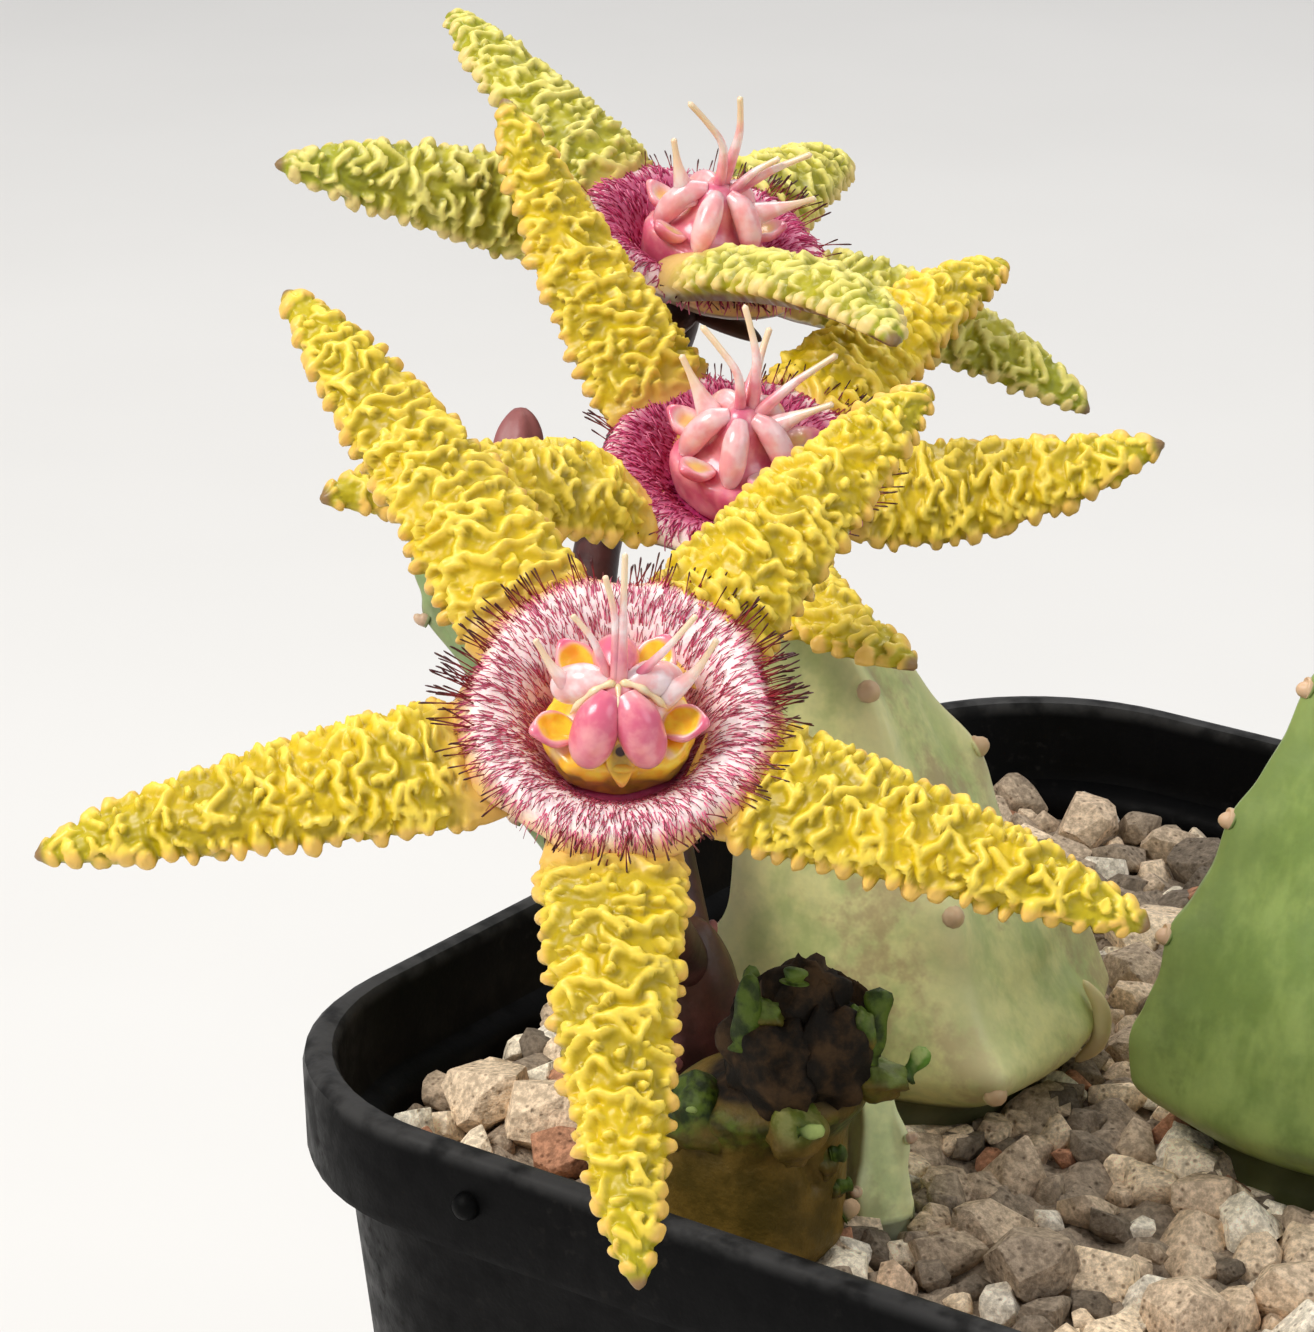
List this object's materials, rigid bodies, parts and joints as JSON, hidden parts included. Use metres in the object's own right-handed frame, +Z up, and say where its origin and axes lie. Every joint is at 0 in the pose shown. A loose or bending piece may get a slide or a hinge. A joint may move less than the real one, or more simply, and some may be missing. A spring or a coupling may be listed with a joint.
{
  "type": "potted stapelia",
  "caption": "Fat four-angled succulent stems with large yellow ridged star flowers on a branched stalk, in grit in a black square nursery pot.",
  "frame": {"origin": "middle of the pot's flat underside, on the surface that it stands on", "axes": "+Z up; X and Y along the pot's sides, with the flowers leaning out over the pot's -X, -Y corner"},
  "size_m": [0.0747, 0.076, 0.0944],
  "materials": {
    "pot_plastic": "black moulded plastic with a soft sheen and rubbed edges",
    "grit_stone": "loose angular pumice and gravel, dry and dull",
    "stem_dark": "dark olive succulent skin with green and brown teeth",
    "stem_grey": "pale grey-green succulent skin mottled with purple, satin",
    "stem_green": "green succulent skin with faint darker streaks, satin",
    "stalk_skin": "dark red-brown fleshy skin",
    "petal_yellow": "yellow fleshy petal with pale waxy ridges, pink hairy centre",
    "petal_green_yellow": "greenish yellow fleshy petal with pale waxy ridges, pink hairy centre",
    "crown_pink": "glossy pink fleshy crown with orange hollows and cream tips"
  },
  "bodies": {
    "root": {"pot": "pot_plastic", "grit": "grit_stone", "stem_front": "stem_dark", "stem_pale": "stem_grey", "stem_middle": "stem_grey", "stem_right": "stem_green", "stem_left": "stem_grey", "flower_stalk": "stalk_skin", "corolla_front": "petal_yellow", "corolla_middle": "petal_yellow", "corolla_back": "petal_green_yellow", "crown_front": "crown_pink", "crown_middle": "crown_pink", "crown_back": "crown_pink"}
  },
  "joints": []
}
